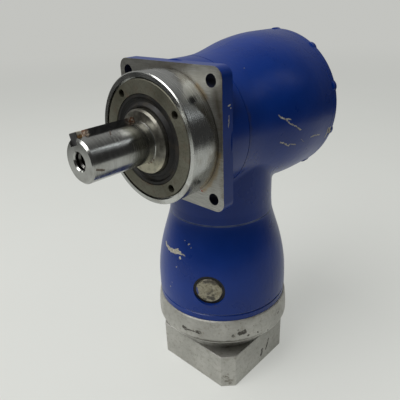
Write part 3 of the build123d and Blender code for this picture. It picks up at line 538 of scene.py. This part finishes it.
FLANGE_OIL = (
    chain(1.1, (36.9, -41, 209.0), (37.3, -41, 200.0), (37.2, -41, 186.0), (36.9, -41, 172.0), (37.2, -41, 158.0), (37.3, -41, 147.0))
    + chain(2.0, (33.6, -41, 197.5), (35.2, -41, 192.3), (36.2, -41, 184.0))
    + chain(0.9, (-12.0, -41, 209.6), (-1.0, -41, 210.6), (10.6, -41, 211.2), (17.6, -41, 212.0))
)
FLANGE_SOOT = chain(1.6, (33.8, -41, 200.5), (35.2, -41, 194.0), (36.4, -41, 185.0), (37.0, -41, 172.0)) + chain(
    0.2, (34.2, -41, 183.0), (35.3, -41, 170.0))
FLANGE_GOLD = (
    chain(0.65, (21.9, -41, 203.0), (24.5, -41, 200.8), (27.6, -41, 197.4))
    + chain(1.05, (35.3, -41, 169.9), (34.3, -41, 164.2), (31.9, -41, 158.0), (28.9, -41, 153.6), (23.5, -41, 147.3))
)
FLANGE_RED = dot((22.4, -41.0, 146.9), 0.5)
ADAPTER_BLOTS = (
    chain(1.3, (4.9, -44.6, 46.6), (6.6, -44.3, 46.0))
    + chain(0.75, (6.9, -44.3, 45.8), (10.0, -43.7, 46.0))
    + chain(0.45, (10.0, -43.7, 46.1), (13.2, -42.9, 46.3))
    + chain(1.25, (14.2, -42.4, 46.4), (16.2, -41.7, 46.6))
    + chain(1.5, (38.3, -23.2, 47.2), (36.6, -25.9, 46.6))
    + dot((33.8, -29.5, 45.5), 0.9)
    + dot((39.6, -21.4, 43.6), 1.0)
    + dot((42.5, -14.6, 43.8), 0.7)
    + dot((44.4, 5.2, 48.3), 0.8)
    + dot((35.7, -26.7, 49.4), 0.6)
    + chain(0.9, (33.5, 11.2, 14.6), (33.5, 9.6, 10.5), (33.5, 8.7, 7.6))
    + chain(1.1, (33.5, 4.0, 10.2), (33.5, 2.6, 5.8))
    + dot((44.2, -6.3, 41.0), 0.7)
)
ADAPTER_BROWN = (
    chain(1.0, (27.9, -32.1, 9.2), (29.8, -30.2, 7.2))
    + chain(1.2, (28.9, -31.1, 4.5), (31.7, -28.3, 5.2))
    + dot((30.8, -29.2, 2.4), 1.3)
    + dot((29.9, -30.1, 10.9), 0.8)
    + dot((27.0, -33.0, 7.5), 0.6)
)
SHAFT_STAINS = (
    dot((6.3, -61.1, 165.7), 0.8)
    + dot((4.4, -61.1, 164.7), 0.7)
    + dot((8.2, -61.1, 167.2), 0.6)
    + chain(0.5, (10.8, -96.4, 173.3), (10.6, -92.5, 171.6))
    + chain(0.4, (2.2, -81.0, 185.8), (4.6, -82.6, 185.0))
)
PLUG_SMUDGES_AND_SHADE = (
    # the first stroke, along the top of the cap, is painted shade; the rest are smudges
    chain(1.3, (18.6, -37.7, 84.6), (21.6, -36.0, 85.2), (24.8, -34.2, 84.2))
    + chain(0.7, (20.2, -36.8, 75.6), (22.5, -35.5, 78.3))
    + dot((22.9, -35.2, 74.8), 1.0)
    + chain(1.2, (20.6, -36.5, 72.9), (23.4, -34.9, 72.6))
    + dot((24.6, -34.3, 76.4), 0.45)
    + dot((18.4, -37.8, 71.4), 0.9)
)
HOUSING_GRIME = chain(0.9, (36.0, -18.9, 190.0), (37.8, -18.9, 180.0), (37.6, -18.9, 168.0), (33.0, -18.9, 156.0))
BELL_GRIME = chain(0.8, (17.0, -38.5, 67.6), (21.0, -37.5, 67.2), (26.0, -34.0, 68.6))
PLUG_PAINT = chain(0.65, (14.0, -40.3, 79.4), (14.6, -39.9, 75.4))

MATERIALS = {
    "main_housing": blue_paint("blue_enamel_housing", BARREL_CHIPS, HOUSING_GRIME, (118.25,)),
    "input_bell": blue_paint("blue_enamel_bell", BELL_CHIPS, BELL_GRIME, (117.75, 60.9)),
    "rear_cover": blue_paint("blue_enamel_cover", COVER_CHIPS),
    "output_flange": flange_material(),
    "adapter_plate": cast_aluminium(),
    "bearing_lock_ring": rusty_ring(),
    "output_shaft": shaft_steel(),
    "shaft_key": key_steel(),
    "gear_key": key_steel(),
    "output_seal": rubber("seal_black_rubber", lin(13, 13, 13), lin(30, 29, 28)),
    # black rubber ring round the plug cap; its black also stands in for the shade in the gap round the cap
    "plug_seal_ring": rubber("plug_black_rubber", lin(16, 16, 17), lin(36, 36, 36)),
    "input_seal": rubber("seal_black_rubber_inner", lin(20, 20, 21), lin(44, 43, 42)),
    "rear_cover_o_ring": rubber("o_ring_black_rubber", lin(18, 18, 18), lin(38, 38, 38)),
    "access_plug": plug_cap(),
    "crown_gear": gear_steel(),
    "pinion_shaft": gear_steel(),
}
SCREWS = screw_black()
BRIGHT = turned("bearing_ground_steel", lin(168, 170, 170), lin(206, 208, 208), 0.12, "y", lin(120, 108, 80), 0.25)
BRIGHT_Z = turned("bearing_ground_steel_upright", lin(168, 170, 170), lin(206, 208, 208), 0.12, "z", lin(120, 108, 80), 0.25)
MACHINED = turned("machined_steel_round_y", lin(132, 132, 128), lin(170, 170, 166), 0.28, "y")
MACHINED_Z = turned("machined_steel_round_z", lin(132, 132, 128), lin(170, 170, 166), 0.28, "z")
PINS = turned("dowel_ground_steel", lin(138, 138, 134), lin(178, 178, 174), 0.2, "y")
BRASS = brass_cage()


def material_for(name):
    if name in MATERIALS:
        return MATERIALS[name]
    if "screw" in name:
        return SCREWS
    if name.endswith("_cage"):
        return BRASS
    if "bearing" in name and name.rsplit("_", 1)[-1] in ("race", "balls"):
        return BRIGHT_Z if "input" in name else BRIGHT
    if "dowel" in name:
        return PINS
    if "input" in name or "clamp" in name:
        return MACHINED_Z
    return MACHINED


for name, o in nodes.items():
    m = material_for(name)
    if not o.material_slots:
        o.data.materials.append(m)
    for s in o.material_slots:
        s.material = m

# ---------------------------------------------------------------- floor, light and camera
bm = bmesh.new()
ring_radii = [0.0, 0.4, 1.0, 2.0, 4.0]
SEG = 96
rows = []
for rr in ring_radii[1:]:
    rows.append([bm.verts.new((rr * math.cos(2 * math.pi * i / SEG), rr * math.sin(2 * math.pi * i / SEG), 0)) for i in range(SEG)])
centre = bm.verts.new((0, 0, 0))
for i in range(SEG):
    bm.faces.new((centre, rows[0][i], rows[0][(i + 1) % SEG]))
for a, b in zip(rows, rows[1:]):
    for i in range(SEG):
        bm.faces.new((a[i], b[i], b[(i + 1) % SEG], a[(i + 1) % SEG]))
me = bpy.data.meshes.new("studio_floor")
bm.to_mesh(me)
bm.free()
floor = bpy.data.objects.new("studio_floor", me)
floor.location = (0, 0, -0.0003)
bpy.context.scene.collection.objects.link(floor)
g = Graph("studio_floor_paper")
paper = g.noise(9, 3, 0.5)
FLOOR_COL = g.mix(paper, (0.345, 0.35, 0.337), (0.365, 0.37, 0.357))
g.finish(FLOOR_COL, 0.9, None, g.bump(g.noise(900, 2), 0.02, 0.2), Specular_IOR_Level=0.05,
         Emission_Color=(0.375, 0.382, 0.362), Emission_Strength=1.0)
glow = g.nt.nodes.new("ShaderNodeEmission")
glow.inputs[0].default_value = (0.545, 0.55, 0.525, 1)
far = g.span(g.vmath("LENGTH", g.p), 0.55, 2.2, 0, 1, True)
fade = g.nt.nodes.new("ShaderNodeMixShader")
g.put(fade.inputs[0], far)
g.nt.links.new(g.bsdf.outputs["BSDF"], fade.inputs[1])
g.nt.links.new(glow.outputs[0], fade.inputs[2])
# the white sheet is about 1.3 m across, and what the steel mirrors beyond its edge is the dim room
sheet = g.nt.nodes.new("ShaderNodeLightPath")
past = g.math("MULTIPLY", g.span(g.vmath("LENGTH", g.p), 0.60, 0.68, 0, 1, True), g.math("SUBTRACT", 1.0, sheet.outputs["Is Camera Ray"]))
dim = g.nt.nodes.new("ShaderNodeEmission")
dim.inputs[0].default_value = (0.05, 0.05, 0.05, 1)
edge = g.nt.nodes.new("ShaderNodeMixShader")
g.put(edge.inputs[0], past)
g.nt.links.new(fade.outputs[0], edge.inputs[1])
g.nt.links.new(dim.outputs[0], edge.inputs[2])
g.nt.links.new(edge.outputs[0], g.out.inputs["Surface"])
floor.data.materials.append(g.mat)

world = bpy.data.worlds.new("studio")
bpy.context.scene.world = world
world.use_nodes = True
wt = world.node_tree
wt.nodes.clear()
w_out = wt.nodes.new("ShaderNodeOutputWorld")
seen = wt.nodes.new("ShaderNodeBackground")
seen.inputs[0].default_value = (0.545, 0.55, 0.525, 1)
seen.inputs[1].default_value = 1.0
room = wt.nodes.new("ShaderNodeBackground")
room.inputs[0].default_value = (1.0, 1.0, 0.985, 1)
w_coord = wt.nodes.new("ShaderNodeTexCoord")


def lobe(direction, start, end, value):
    """Part of the room's light: from 0 to value as the view turns towards a direction."""
    d = wt.nodes.new("ShaderNodeVectorMath")
    d.operation = "DOT_PRODUCT"
    d.inputs[1].default_value = Vector(direction).normalized()
    wt.links.new(w_coord.outputs["Generated"], d.inputs[0])
    r = wt.nodes.new("ShaderNodeMapRange")
    r.interpolation_type = "SMOOTHSTEP"
    for i, v in enumerate((start, end, 0.0, value)):
        r.inputs[i + 1].default_value = v
    wt.links.new(d.outputs["Value"], r.inputs[0])
    return r.outputs[0]


total = None
for part in (lobe((-0.69, 0.72, 0.0), 0.15, 0.75, 0.29), lobe((0, 0, 1), 0.45, 0.95, 0.12), lobe((-0.75, -0.6, 0.1), 0.3, 0.9, 0.16)):
    n = wt.nodes.new("ShaderNodeMath")
    n.operation = "ADD"
    wt.links.new(part, n.inputs[0])
    if total is None:
        n.inputs[1].default_value = 0.045
    else:
        wt.links.new(total, n.inputs[1])
    total = n.outputs[0]
wt.links.new(total, room.inputs[1])
path = wt.nodes.new("ShaderNodeLightPath")
pick = wt.nodes.new("ShaderNodeMixShader")
wt.links.new(path.outputs["Is Camera Ray"], pick.inputs[0])
wt.links.new(room.outputs[0], pick.inputs[1])
wt.links.new(seen.outputs[0], pick.inputs[2])
wt.links.new(pick.outputs[0], w_out.inputs["Surface"])


def softbox(name, at, aim, size, power, color=(1.0, 0.995, 0.98)):
    light = bpy.data.lights.new(name, "AREA")
    light.shape = "RECTANGLE"
    light.size, light.size_y = size
    light.energy = power
    light.color = color
    o = bpy.data.objects.new(name, light)
    o.location = at
    o.rotation_mode = "QUATERNION"
    o.rotation_quaternion = (Vector(aim) - Vector(at)).to_track_quat("-Z", "Y")
    bpy.context.scene.collection.objects.link(o)
    return o


MID = (0, 0, 0.12)
softbox("key_front_top", (-0.14, -0.66, 1.20), MID, (0.85, 0.95), 15.5)
softbox("strip_right", (0.80, 0.74, 0.98), MID, (0.10, 0.55), 0.42, (0.93, 0.97, 1.0))

AZ, EL, ROLL = math.radians(43.808), math.radians(24.813), math.radians(-2.276)
back = Vector((math.sin(AZ) * math.cos(EL), -math.cos(AZ) * math.cos(EL), math.sin(EL)))
right = Vector((math.cos(AZ), math.sin(AZ), 0))
up = back.cross(right)
r2 = right * math.cos(ROLL) + up * math.sin(ROLL)
u2 = -right * math.sin(ROLL) + up * math.cos(ROLL)
cam_data = bpy.data.cameras.new("camera")
cam = bpy.data.objects.new("camera", cam_data)
bpy.context.scene.collection.objects.link(cam)
cam_data.sensor_width = 36
cam_data.lens = 39.813
cam_data.clip_start = 0.01
cam_data.clip_end = 60
cam.matrix_world = Matrix((
    (r2.x, u2.x, back.x, 0.172236),
    (r2.y, u2.y, back.y, -0.199017),
    (r2.z, u2.z, back.z, 0.242254),
    (0, 0, 0, 1),
))
bpy.context.scene.camera = cam
bpy.context.scene.view_settings.view_transform = "Standard"
